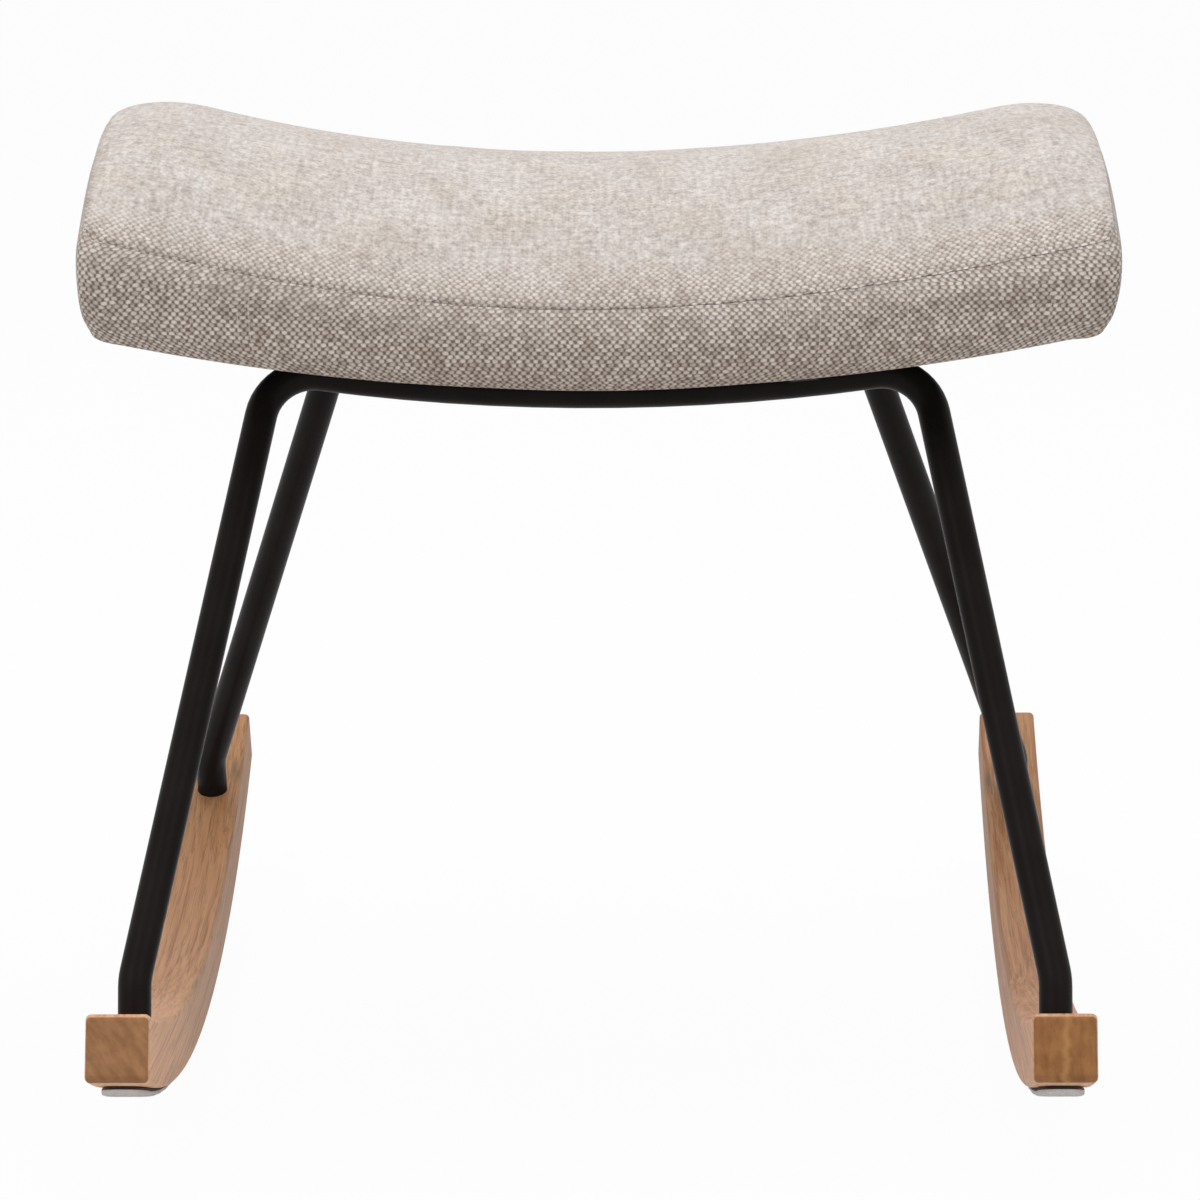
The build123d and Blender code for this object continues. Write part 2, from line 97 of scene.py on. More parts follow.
# Reaches of the swell and of the nap
FREE_REACH_MM = 25.0              # from a seam, where the top panel is fully free to swell
NAP_TURN_MM = 9.0                 # how far the front's nap reaches round a corner


def graded(half, fine, coarse):
    """Shares from -1 to 1 with the fine steps next to both ends and even steps between."""
    edge = np.cumsum(fine)
    inner = half - edge[-1]
    count = int(round(inner / coarse))
    right = np.concatenate([np.linspace(0, inner, count + 1), half - edge[-2::-1], [half]])
    return np.concatenate([-right[:0:-1], right]) / half


SEAM_STEPS_MM = (1.5, 1.8, 2.4, 3.2, 4.0, 4.8)
GRID_STEP_MM = 5.6
ACROSS = graded(SEAM_HALF_WIDTH_MM, SEAM_STEPS_MM, GRID_STEP_MM)
ALONG = graded(SEAM_HALF_DEPTH_MM, SEAM_STEPS_MM, GRID_STEP_MM)
BAND_STEPS = np.array([0.035, 0.08, 0.14, 0.21, 0.30, 0.40, 0.50, 0.60, 0.70, 0.79, 0.87])
FOOT_STEPS = np.array([0.25, 0.5, 0.75, 1.0])  # shares of the quarter round at the foot


def outline_point(u, v, half_x, half_y):
    """A rounded rectangle shrunk towards its middle.

    A point starts at (u half_x, v half_y). It is pulled back to a core that is one corner
    radius smaller, and pushed out again by that radius. The radius falls with the cube of
    the larger share, so the middle of the panel is an even grid. Ends bow out by 1 - y^2.
    """
    share = np.maximum(np.maximum(np.abs(u), np.abs(v)), 1e-6)
    x, y = u * half_x, v * half_y
    radius = CORNER_RADIUS_MM * share ** 3
    core_x = np.clip(x, radius - share * half_x, share * half_x - radius)
    core_y = np.clip(y, radius - share * half_y, share * half_y - radius)
    dx, dy = x - core_x, y - core_y
    reach = np.maximum(np.hypot(dx, dy), 1e-9)
    x, y = core_x + radius * dx / reach, core_y + radius * dy / reach
    x = x + np.sign(u) * np.abs(u) ** 3 * BARREL_MM * (1 - (y / half_y) ** 2)
    return x, y


def bowed(x, y, height):
    """Bends a flat place about the seat's axis: angle = x / flat radius, reach = radius - height.

    The bow is lifted by a polynomial of the width, less at the board. The cover is turned
    a little about Z, by an angle that grows from the board to the seam.
    """
    turn = np.interp(height, (0.0, SEAM_HEIGHT_MM), COVER_TURN)
    lift = polyval(x / SEAM_HALF_WIDTH_MM, LIFT_MM)
    free = np.clip(2 * height / SEAM_HEIGHT_MM, 0, 1)
    height = height + free * lift + (1 - free) * np.minimum(lift, FOOT_LIFT_MM)
    angle = x / FLAT_RADIUS_MM
    reach = BOW_RADIUS_MM - height
    bent = reach * np.sin(angle) + SEAT_SHIFT_MM
    return np.stack([bent - turn * y, y + turn * bent,
                     BOW_CENTRE_Z_MM - reach * np.cos(angle)], -1)


def crown_outline(v):
    """Front-to-back outline of the crown, from 0 at a seam to 1: (1 - |v|^p)^s."""
    return np.maximum(1 - np.abs(v) ** CROWN_POWERS[0], 0) ** CROWN_POWERS[1]


def sided(pair, u):
    """The pair's first value on the left, its second on the right."""
    return np.where(u < 0, *pair)


def seam_height(u, v):
    """Height of the top seam: level along the front and back, arched over each end."""
    return SEAM_HEIGHT_MM + sided(END_ARCH_MM, u) * crown_outline(v) * (np.abs(u) > ON_END)


def crease(distance, x, y, depth):
    """How far the cover is drawn in at a seam: depth times pull times exp(-distance / reach).

    The stitches pull a little unevenly, by 1 plus two sine waves of x + y, and less and
    less towards the right, by middle - loss tanh(x / span).
    """
    pull = 1.0
    for share, length, phase in STITCH_WAVES:
        pull = pull + share * np.sin((x + y) / length + phase)
    middle, loss, span = CREASE_FADE
    pull = pull * (middle - loss * np.tanh(x / span))
    return depth * pull * np.exp(-distance / CREASE_REACH_MM)


def top_panel():
    """Crowned panel: seam height plus rise times (1 - |v|^p)^s.

    The rise is the crown's polynomial. Past the shoulder's start it falls to the end's arch
    by (1 - n^2)^q, where n is the share of the way from there to the end.
    """
    u, v = np.meshgrid(ACROSS, ALONG, indexing="ij")
    x, y = outline_point(u, v, SEAM_HALF_WIDTH_MM, SEAM_HALF_DEPTH_MM)
    start = sided(SHOULDER_START, u)
    near_end = np.clip((np.abs(u) - start) / (1 - start), 0, 1)
    shoulder = (1 - near_end ** 2) ** sided(SHOULDER_POWER, u)
    arch = sided(END_ARCH_MM, u)
    rise = arch + (polyval(u, CROWN_MM) - arch) * shoulder
    height = SEAM_HEIGHT_MM + rise * crown_outline(v)
    to_front = (1 - np.abs(v)) * SEAM_HALF_DEPTH_MM
    to_end = (1 - np.abs(u)) * SEAM_HALF_WIDTH_MM
    to_seam = np.minimum(to_front, to_end)
    return bowed(x, y, height - crease(to_seam, x, y, CREASE_MM[0])), x, to_seam, to_front


def perimeter():
    """Shares (u, v) once round the outline, anticlockwise from the back left corner."""
    ones_across, ones_along = np.ones(len(ACROSS) - 1), np.ones(len(ALONG) - 1)
    left = np.stack([-ones_along, ALONG[:0:-1]])
    front = np.stack([ACROSS[:-1], -ones_across])
    right = np.stack([ones_along, ALONG[:-1]])
    back = np.stack([ACROSS[:0:-1], ones_across])
    return np.concatenate([left, front, right, back], 1)


def corner_sag(u, v, t):
    """How far the folded cloth hangs at a front corner: sag t^3 exp(-(distance / reach)^4)."""
    away = np.hypot((1 - np.abs(u)) * SEAM_HALF_WIDTH_MM, (1 - np.abs(v)) * SEAM_HALF_DEPTH_MM)
    return sided(CORNER_SAG_MM, u) * (v < 0) * t ** 3 * np.exp(-(away / CORNER_REACH_MM) ** 4)


def band():
    """Side of the cushion, one row of points for each step down from the seam to the foot.

    At the share t of the way down, each half size has gone t^taper of the way from the
    seam's to the foot's, and stands out by a bulge 4 t (1 - t). A quarter round turns the
    cover under at the foot.
    """
    u, v = perimeter()
    t = BAND_STEPS[:, None]
    bulge = 4 * t * (1 - t)
    half_x = SEAM_HALF_WIDTH_MM + (FOOT_HALF_WIDTH_MM - SEAM_HALF_WIDTH_MM) * t ** END_TAPER
    half_y = SEAM_HALF_DEPTH_MM + (FOOT_HALF_DEPTH_MM - SEAM_HALF_DEPTH_MM) * t ** FRONT_TAPER
    half_x, half_y = half_x + BAND_BULGE_MM[0] * bulge, half_y + BAND_BULGE_MM[1] * bulge
    drawn = crease(t * SEAM_HEIGHT_MM, u * SEAM_HALF_WIDTH_MM, v * SEAM_HALF_DEPTH_MM,
                   CREASE_MM[1])
    sag = corner_sag(u, v, t)
    side = outline_point(u, v, half_x - drawn + SAG_FLARE * sag, half_y - drawn)
    side_height = seam_height(u, v) * (1 - t) - sag

    angle = FOOT_STEPS[:, None] * math.pi / 2
    inward = FOOT_ROUND_MM * (1 - np.cos(angle))
    sag = corner_sag(u, v, 1.0)
    foot = outline_point(u, v, FOOT_HALF_WIDTH_MM - inward + SAG_FLARE * sag,
                         FOOT_HALF_DEPTH_MM - inward)
    foot_height = FOOT_ROUND_MM * (1 - np.sin(angle)) - sag
    x, y = (np.concatenate(pair) for pair in zip(side, foot))
    return bowed(x, y, np.concatenate([side_height, foot_height]))


def underside():
    """The panel that rests on the board: the foot's outline filled in, on the bow."""
    u, v = np.meshgrid(ACROSS, ALONG, indexing="ij")
    x, y = outline_point(u, v, FOOT_HALF_WIDTH_MM - FOOT_ROUND_MM,
                         FOOT_HALF_DEPTH_MM - FOOT_ROUND_MM)
    return bowed(x, y, np.zeros_like(x)), x, y


def corners(grid):
    """The four corners of each cell of a grid, in the order of a quad."""
    return np.stack([grid[:-1, :-1], grid[1:, :-1], grid[1:, 1:], grid[:-1, 1:]], 2)


def closed_ring(rows):
    """Rows that run round a ring, with the first entry of each once more at its end."""
    return np.concatenate([rows, rows[:, :1]], 1)


def step_lengths(points, axis):
    """Length walked along one axis of a grid of points, added up step by step."""
    return np.linalg.norm(np.diff(points, axis=axis), axis=2).cumsum(axis)


def band_map(points):
    """The weave's map on the band, in mm, from its closed rows with the seam first.

    Across is the plan-view length along the seam, counted so that the front's left corner
    has the top panel's x. Along is the seam's height less the length walked down from it,
    so the rows of the weave are level.
    """
    seam = points[:1]
    across = np.concatenate([[[0.0]], step_lengths(seam[..., :2], 1)], 1)
    across = across.repeat(len(points), 0)
    front_start = len(ALONG) - 1
    across = across - across[0, front_start] - SEAM_HALF_WIDTH_MM
    down = np.concatenate([np.zeros((1, points.shape[1])), step_lengths(points, 0)])
    return across, seam[..., 2] - down


def nap_distances(to_seam, to_front, side_shape, u, v):
    """Distances of the top's and the band's points from the seam, in mm, below it negative.

    The first counts from the whole seam. The second counts from its front and back only,
    and on the ends it gains the way to the nearest corner, up to a limit.
    """
    side_seam = np.full(side_shape, -SEAM_HEIGHT_MM)
    side_seam[:len(BAND_STEPS)] = -(BAND_STEPS[:, None] * seam_height(u, v))
    side_front = side_seam.copy()
    inward = np.minimum((1 - np.abs(v)) * SEAM_HALF_DEPTH_MM, NAP_TURN_MM)
    side_front[:len(BAND_STEPS)] += inward * (np.abs(u) > ON_END)
    return (np.concatenate([to_seam.ravel(), side_seam.ravel()]),
            np.concatenate([to_front.ravel(), side_front.ravel()]))


def cushion_mesh():
    """One closed mesh: top panel, band and underside share their edge points.

    Gives the mesh, and for each point how freely it swells, from 0 at a seam up to 1. In
    the band that is 4 t (1 - t).
    """
    top, top_x, to_seam, to_front = top_panel()
    side = band()
    low, low_x, low_y = underside()
    u, v = perimeter()
    column = np.abs(ACROSS[None] - u[:, None]).argmin(1)
    row = np.abs(ALONG[None] - v[:, None]).argmin(1)

    top_index = np.arange(to_seam.size).reshape(to_seam.shape)
    side_index = to_seam.size + np.arange(side[..., 0].size).reshape(side.shape[:2])
    low_index = to_seam.size + side_index.size + top_index
    low_index[column, row] = side_index[-1]
    band_index = closed_ring(np.concatenate([top_index[column, row][None], side_index]))
    points = np.concatenate([top.reshape(-1, 3), side.reshape(-1, 3), low.reshape(-1, 3)])

    top_along = np.concatenate([np.zeros((len(ACROSS), 1)), step_lengths(top, 1)], 1)
    across, level = band_map(closed_ring(np.concatenate([top[column, row][None], side])))
    grids = ((top_index, top_x, top_along),
             (band_index[::-1], across[::-1], level[::-1]),
             (low_index[::-1], low_x[::-1], low_y[::-1]))
    faces = np.concatenate([corners(index).reshape(-1, 4) for index, _, _ in grids])
    weave = np.concatenate([corners(np.stack([x, y], -1)).reshape(-1, 2) for _, x, y in grids])

    used, packed = np.unique(faces, return_inverse=True)
    mesh = bpy.data.meshes.new("seat_cushion")
    mesh.from_pydata((points[used] * MM).tolist(), [], packed.reshape(faces.shape).tolist())
    mesh.uv_layers.new(name="weave_map").data.foreach_set("uv", (weave * MM).ravel())
    distances = nap_distances(to_seam, to_front, side.shape[:2], u, v)
    for name, near in zip(("from_seam", "from_front"), distances):
        values = np.full(len(points), -SEAM_HEIGHT_MM)
        values[:len(near)] = near
        mesh.attributes.new(name, "FLOAT", "POINT").data.foreach_set("value", values[used] * MM)

    free = np.zeros(len(points))
    free[:to_seam.size] = np.clip(to_seam.ravel() / FREE_REACH_MM, 0, 1)
    t = np.concatenate([BAND_STEPS, np.ones(len(FOOT_STEPS))])
    free[side_index.ravel()] = np.clip(4 * t * (1 - t), 0, 1).repeat(side.shape[1])
    return mesh, free[used]


def add_piece(name, mesh, material):
    """Links a finished mesh at the origin and lets it ride on the stool's body."""
    piece = bpy.data.objects.new(name, mesh)
    scene.collection.objects.link(piece)
    mesh.materials.append(material)
    mesh.shade_smooth()
    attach(piece, "root")
    return piece


# ------------------------------------------------------------------ felt form, millimetres
FELT_RADIUS_MM = 680.0            # of the oak that the felt is glued to
FELT_CENTRE_Z_MM = 683.0
FELT_MM = (3.0, 4.6)              # thickness, pressed at the middle and loose at the ends
FELT_HALF_WIDTH_MM = 10.8
FELT_POWERS = (0.30, 0.42)        # that round the section off, across and down
FELT_CLOSE = (0.9995, 60, 0.4)    # how much, how late and how bluntly the ends close
FELT_RAGGED = ((0.14, 61, 3), (0.10, 143, 0))  # mm, and radians along the pad and round it
FELT_ROWS, FELT_AROUND = 121, 32


def felt_pad(centre, end_angle):
    """A soft-edged flat section carried along the rocker's underside.

    The section is a superellipse, x = w |cos|^p and d = t |sin|^q with their signs, of which
    half lies above the oak's surface and is cut off there. It shrinks towards both ends as
    (1 - c |s|^n)^m, its thickness grows with the square of the share s of the way to an end,
    because no weight presses it there, and its edge is ragged by waves
    size sin(along s + around cos). A flat face closes each end.
    """
    share = np.sin(np.linspace(-math.pi / 2, math.pi / 2, FELT_ROWS))[:, None]
    turn = np.linspace(0, 2 * math.pi, FELT_AROUND + 1)[None, :-1]
    most, late, blunt = FELT_CLOSE
    close = (1 - most * np.abs(share) ** late) ** blunt
    thick = (FELT_MM[0] + (FELT_MM[1] - FELT_MM[0]) * share ** 2) * close
    ragged = sum(size * np.sin(along * share + around * np.cos(turn))
                 for size, along, around in FELT_RAGGED)
    x = np.sign(np.cos(turn)) * np.abs(np.cos(turn)) ** FELT_POWERS[0]
    x = x * (FELT_HALF_WIDTH_MM * close + ragged * close)
    down = 0.5 + 0.5 * np.sign(np.sin(turn)) * np.abs(np.sin(turn)) ** FELT_POWERS[1]
    reach = FELT_RADIUS_MM + thick * down
    angle = share * end_angle
    points = np.stack([x + centre, reach * np.sin(angle),
                       FELT_CENTRE_Z_MM - reach * np.cos(angle)], -1)
    index = np.arange(FELT_ROWS * FELT_AROUND).reshape(FELT_ROWS, FELT_AROUND)
    faces = corners(closed_ring(index)).reshape(-1, 4).tolist()
    faces += [index[0].tolist(), index[-1][::-1].tolist()]
    mesh = bpy.data.meshes.new("felt_pad")
    mesh.from_pydata((points.reshape(-1, 3) * MM).tolist(), [], faces)
    return mesh


# ------------------------------------------------------------------ the filling's pressure
SWELL_CAP = 0.006                 # metres that a point of the cover may move
SWELL_PRESSURE = 4.0
SWELL_FRAMES = 20
COVER_STIFFNESS = 15.0
HOLD_LEVELS = 16                  # between a free point and a held one


def simulate(piece, free):
    """Lets the padded cover swell between its seams: cloth with pressure and no gravity.

    A point is held by 1 - free, and ends no further than the cap from where it began.
    """
    held = piece.vertex_groups.new(name="held")
    level = np.rint((1 - free) * HOLD_LEVELS)
    for step in range(HOLD_LEVELS + 1):
        held.add(np.flatnonzero(level == step).tolist(), step / HOLD_LEVELS, "REPLACE")
    cloth = piece.modifiers.new("swell", "CLOTH")
    cloth.settings.vertex_group_mass = "held"
    cloth.settings.use_pressure = True
    cloth.settings.uniform_pressure_force = SWELL_PRESSURE
    cloth.settings.effector_weights.gravity = 0.0
    cloth.settings.quality = 6
    cloth.settings.tension_stiffness = COVER_STIFFNESS
    cloth.settings.compression_stiffness = COVER_STIFFNESS
    start = np.zeros(len(piece.data.vertices) * 3, np.float32)
    piece.data.vertices.foreach_get("co", start)
    for step in range(1, SWELL_FRAMES + 1):
        scene.frame_set(step)
    shown = piece.evaluated_get(bpy.context.evaluated_depsgraph_get())
    end = np.zeros_like(start)
    shown.data.vertices.foreach_get("co", end)
    move = (end - start).reshape(-1, 3)
    length = np.maximum(np.linalg.norm(move, axis=1, keepdims=True), 1e-9)
    move *= np.minimum(1.0, SWELL_CAP / length)
    piece.modifiers.remove(cloth)
    piece.vertex_groups.clear()
    piece.data.vertices.foreach_set("co", start + move.ravel())
    piece.data.update()
    scene.frame_set(1)


# ------------------------------------------------------------------ materials
class Finish:
    """A node material, built up one node at a time."""

    def __init__(self, name, **sockets):
        """A new material; the words name the shader's sockets, with _ for each space."""
        self.material = bpy.data.materials.new(name)
        self.material.use_nodes = True
        self.tree = self.material.node_tree
        self.shader = self.tree.nodes["Principled BSDF"]
        self.shade(**sockets)

    def put(self, socket, value):
        """Links an output to the socket, or writes a constant there."""
        if isinstance(value, bpy.types.NodeSocket):
            self.tree.links.new(value, socket)
        elif isinstance(value, tuple) and len(value) == 3 and len(socket.default_value) == 4:
            socket.default_value = (*value, 1.0)
        else:
            socket.default_value = value

    def shade(self, **sockets):
        """Fills sockets of the surface shader and gives the material."""
        for socket, value in sockets.items():
            self.put(self.shader.inputs[socket.replace("_", " ")], value)
        return self.material

    def add(self, kind, *values, out=0, **settings):
        """A node with its inputs filled in order (None leaves one alone); gives one output."""
        node = self.tree.nodes.new("ShaderNode" + kind)
        for key, value in settings.items():
            setattr(node, key, value)
        for socket, value in zip(node.inputs, values):
            if value is not None:
                self.put(socket, value)
        return node.outputs[out]

    def filled(self, kind, out, **inputs):
        """A node with its inputs filled by name; gives one output."""
        node = self.tree.nodes.new("ShaderNode" + kind)
        for name, value in inputs.items():
            self.put(node.inputs[name], value)
        return node.outputs[out]

    def place(self):
        """The point on the object, in metres."""
        return self.add("TexCoord", out="Object")

    def parts(self, vector):
        """The vector's x, y and z."""
        return self.add("SeparateXYZ", vector).node.outputs[:]

    def math(self, operation, *values):
        return self.add("Math", *values, operation=operation)

    def plus(self, first, second):
        return self.math("ADD", first, second)

    def minus(self, first, second):
        return self.math("SUBTRACT", first, second)

    def times(self, first, second):
        return self.math("MULTIPLY", first, second)

    def line(self, value, slope, start):
        """slope value + start."""
        return self.math("MULTIPLY_ADD", value, slope, start)

    def square(self, value):
        return self.times(value, value)

    def distance(self, first, second):
        """The square root of the sum of two squares."""
        return self.math("SQRT", self.plus(self.square(first), self.square(second)))

    def mixture(self, *weighted):
        """The sum of (value, share) pairs."""
        total = self.times(*weighted[0])
        for value, share in weighted[1:]:
            total = self.line(value, share, total)
        return total

    def spread(self, value, low, high, to_low=0.0, to_high=1.0, smooth=False):
        """Maps low..high to to_low..to_high, clamped."""
        kind = "SMOOTHSTEP" if smooth else "LINEAR"
        return self.add("MapRange", value, low, high, to_low, to_high, interpolation_type=kind)

    def noise(self, vector, scale, detail=3.0, roughness=0.55, distortion=0.0):
        """Cloudy noise with this many cells in a metre, about 0.5."""
        return self.filled("TexNoise", "Fac", Vector=vector, Scale=scale, Detail=detail,
                           Roughness=roughness, Distortion=distortion)

    def drawn_noise(self, vector, scales, detail=3.0, roughness=0.55, start=None):
        """Noise that is drawn out, with its own number of cells in a metre along each axis."""
        return self.noise(self.add("Mapping", vector, start, None, scales), 1.0, detail, roughness)

    def blend(self, share, first, second, mode="MIX"):
        """One colour over another, by a share."""
        node = self.tree.nodes.new("ShaderNodeMix")
        node.data_type, node.blend_type = "RGBA", mode
        for socket, value in zip((node.inputs[0], node.inputs[6], node.inputs[7]),
                                 (share, first, second)):
            self.put(socket, value)
        return node.outputs[2]

    def bump(self, height, distance, strength=1.0):
        """A normal from a height of 0 to 1 that stands for a distance in metres."""
        return self.filled("Bump", "Normal", Height=height, Distance=distance,
                           Strength=strength)


# The cover's weave
FLOAT_PITCH, FLOAT_ROW = 0.0038, 0.0019       # metres, of the weave's pale floats
WANDER_CELLS = 240.0              # in a metre, of the noise that moves rows and floats
ROW_WANDER, FLOAT_WANDER = 0.55, 0.80         # of a row and of a pitch
ROW_JITTER = 0.26                 # of a pitch, by which a row starts beside its place
YARN_PALE = ((0.54, 0.458, 0.398), (0.86, 0.782, 0.72))
YARN_MIDDLE = ((0.29, 0.222, 0.179), (0.54, 0.450, 0.386))
YARN_GAP = ((0.115, 0.084, 0.067), (0.215, 0.166, 0.136))
NAP_SHADE = (0.36, 0.31, 0.277)
NAP_TINTS = ((0.665, 0.606, 0.556), (0.68, 0.634, 0.607))
SLUB_TONE = (0.80, 0.74, 0.685)
# painted shade of the crease along the seam
CREASE_SHADE_TONE = (0.15, 0.105, 0.082)
PAINTED_FOOT_SHADE = (0.80, 0.75, 0.72)   # painted shade: what the cover keeps of its colour near the foot


def float_pattern(f, uv, fibre):
    """Paleness, darkness and roundness of the floats, and a draw for each.

    Rows are whole numbers of the distance along, and each row starts half a float beside
    the last, give or take a draw of its own. With b the distance from a float's middle, in
    pitches, and a the distance from its row's middle, in rows, a float is pale where
    (2.95 b)^2 + (2 a)^2 is small, and a gap is dark where (2.1 - 4.2 b)^2 + (2.1 a)^2 is.
    """
    across, along, _ = f.parts(uv)
    shifted = f.add("Mapping", uv, (0.4, 0.2, 0.0))
    row = f.line(f.noise(uv, WANDER_CELLS, 2.0), ROW_WANDER, f.math("DIVIDE", along, FLOAT_ROW))
    column = f.line(f.noise(shifted, WANDER_CELLS, 2.0), FLOAT_WANDER,
                    f.math("DIVIDE", across, FLOAT_PITCH))
    row_number = f.math("FLOOR", row)
    own_start = f.add("TexWhiteNoise", None, row_number, noise_dimensions="1D")
    column = f.line(own_start, ROW_JITTER, f.line(row_number, 0.5, column))
    cell = f.add("CombineXYZ", f.math("FLOOR", column), row_number)
    own = f.add("TexWhiteNoise", cell, noise_dimensions="2D")
    beside = f.math("ABSOLUTE", f.minus(f.math("FRACT", column), 0.5))
    above = f.minus(f.math("FRACT", row), 0.5)
    rough = f.line(fibre, 1.1, -0.55)
    oval = f.plus(f.square(f.times(beside, 2.95)), f.square(f.times(above, 2.0)))
    hollow = f.plus(f.square(f.line(beside, -4.2, 2.1)), f.square(f.times(above, 2.1)))
    oval, hollow = f.plus(oval, rough), f.plus(hollow, rough)
    light = f.spread(oval, 1.45, 0.25, smooth=True)
    dark = f.spread(hollow, 1.3, 0.1, smooth=True)
    return light, dark, oval, own


def painted_crease_shade(f, across, from_seam, fibre, mottle, light):
    """Share of the painted crease shade: thin, broken by the floats, and weaker to the right."""
    thin = f.spread(f.math("ABSOLUTE", from_seam), 0.0002, 0.0026, 1.0, 0.0)
    fade = f.times(f.spread(across, -0.06, 0.06, 0.52, 0.20, smooth=True),
                   f.spread(mottle, 0.35, 0.6, 0.35, 1.0))
    fade = f.times(fade, f.spread(fibre, 0.35, 0.6, 0.4, 1.2))
    return f.times(f.times(thin, fade), f.line(light, -0.65, 1.25))


def woven_upholstery():
    """Coarse weave: pale oval floats in staggered rows, with a dark gap between neighbours.

    Every float has a tone of its own, over clouds, mottling and streaks along the warp and
    weft. Over the crown the yarn's nap closes the gaps. Below it pale slubs run from front to
    back, and painted shade darkens the cover towards the foot, most at the middle of its
    width. The seam's crease gets painted shade: a thin broken dark line.
    """
    f = Finish("woven_upholstery", Roughness=0.92, Sheen_Weight=0.25, Sheen_Roughness=0.5,
               Specular_IOR_Level=0.2)
    uv = f.add("UVMap", uv_map="weave_map")
    across = f.parts(f.place())[0]
    from_seam = f.add("Attribute", attribute_name="from_seam", out="Fac")
    from_front = f.add("Attribute", attribute_name="from_front", out="Fac")
    fibre = f.noise(uv, 1500.0, 2.0)
    mottle = f.noise(uv, 210.0, 3.0, 0.65)
    cloud = f.noise(uv, 26.0, 4.0)
    warp = f.drawn_noise(uv, (260.0, 26.0, 1.0), 2.0)
    weft = f.drawn_noise(uv, (34.0, 260.0, 1.0), 2.0)

    light, dark, oval, own = float_pattern(f, uv, fibre)
    tone = f.mixture((cloud, 0.4), (own, 0.56), (mottle, 0.5), (weft, 0.35), (warp, 0.55))
    pale = f.blend(f.spread(tone, 0.86, 1.44), *YARN_PALE)
    middle = f.blend(f.spread(tone, 0.80, 1.45), *YARN_MIDDLE)
    woven = f.blend(f.times(dark, 0.85), middle, f.blend(mottle, *YARN_GAP))
    woven = f.blend(light, woven, pale)

    lint = f.drawn_noise(uv, (400.0, 150.0, 1.0), 3.0, 0.65)
    cross_lint = f.drawn_noise(uv, (110.0, 420.0, 1.0), 2.0, 0.6)
    felted = f.mixture((cross_lint, 0.6), (lint, 0.9), (cloud, 0.36), (warp, 0.25))
    tint = f.blend(f.spread(f.noise(uv, 23.0, 3.0), 0.38, 0.54), *NAP_TINTS)
    napped = f.blend(f.spread(felted, 0.82, 1.24), NAP_SHADE, tint)
    wavy = f.line(across, -0.010, f.line(f.noise(uv, 45.0, 3.0), 0.024, -0.012))
    nap = f.spread(f.plus(from_front, wavy), -0.018, 0.030, 0.0, 0.90)
    colour = f.blend(nap, woven, napped)

    slub = f.spread(f.drawn_noise(uv, (620.0, 24.0, 1.0), 1.0), 0.66, 0.74, 0.0, 0.5)
    colour = f.blend(f.times(slub, f.minus(1.0, nap)), colour, SLUB_TONE)
    # painted shade of the seam's crease: a thin dark line, broken by the floats
    colour = f.blend(painted_crease_shade(f, across, from_seam, fibre, mottle, light), colour, CREASE_SHADE_TONE)
    # painted shade: the cover darkens towards the foot, most at the middle of its width
    foot = f.spread(f.line(mottle, 0.006, from_seam), -0.037, -0.016, 0.9, 0.0)
    foot = f.times(foot, f.spread(f.math("ABSOLUTE", across), 0.06, 0.20, 1.0, 0.3))
    colour = f.blend(foot, colour, PAINTED_FOOT_SHADE, mode="MULTIPLY")

    dome = f.minus(f.spread(oval, 1.5, 0.0, smooth=True), f.times(dark, 0.4))
    height = f.times(f.line(fibre, 0.3, dome), f.spread(nap, 0.0, 0.9, 1.0, 0.25))
    return f.shade(Base_Color=colour, Normal=f.bump(height, 0.0006, 0.7))


# The rockers' oak. For each: a knot's place and half size, two tones of the plank, what its
# rear keeps of them, two tones of the end grain, how far the end's clouds slant, in radians,
# and how far beside the bar's middle a pale ray crosses the end, if it does.
ROCKERS = {
    "left": {
        "knot": (-0.207, 0.217, 0.071), "knot_size": (0.005, 0.022, 0.012),
        "plank": ((0.64, 0.286, 0.125), (0.88, 0.460, 0.238)), "rear": (0.50, 0.46, 0.37),
        "end": ((0.28, 0.125, 0.048), (0.40, 0.195, 0.083)), "slant": 0.65, "ray": None},
    "right": {
        "knot": (0.206, 0.206, 0.066), "knot_size": (0.007, 0.020, 0.012),
        "plank": ((0.51, 0.210, 0.091), (0.72, 0.342, 0.177)), "rear": (0.56, 0.53, 0.44),
        "end": ((0.250, 0.101, 0.027), (0.375, 0.166, 0.053)), "slant": 0.12, "ray": 0.0060},
}
BEND_FOLLOWED = (0.30, 0.88)      # share of the bend that the grain follows, front and rear
GRAIN_SHIFT = 0.31                # along y, as a share of the rocker's place across
PLANK_MIDDLE_Z = 0.02             # of the bar's lowest stretch
PITH_BESIDE, PITH_BELOW = 0.075, 0.028        # metres, from the bar's middle
RINGS_IN_A_METRE = 270.0
LATE_WOOD = (0.46, 0.20, 0.088)
STREAK_TONE = (0.96, 0.61, 0.38)
VEIN_TONE = (0.36, 0.158, 0.070)
PORE_TONE = (0.25, 0.110, 0.052)
KNOT_TONE = (0.12, 0.062, 0.036)
END_PORE_TONE = (0.15, 0.07, 0.03)
RAY_TONE = (0.56, 0.29, 0.10)


def plank_place(f, x, y, z, across):
    """A place in the plank, across, along and up, whose grain bends less than the bar does.

    Up is z less a share of the bend's rise, centre height - sqrt(radius^2 - y^2). The share
    grows from front to rear.
    """
    chord = f.minus((FELT_RADIUS_MM * MM) ** 2, f.square(y))
    rise = f.minus(FELT_CENTRE_Z_MM * MM, f.math("SQRT", chord))
    followed = f.times(rise, f.spread(y, -0.08, 0.04, *BEND_FOLLOWED))
    return (f.minus(x, across), f.plus(y, GRAIN_SHIFT * across),
            f.minus(f.minus(z, PLANK_MIDDLE_Z), followed))


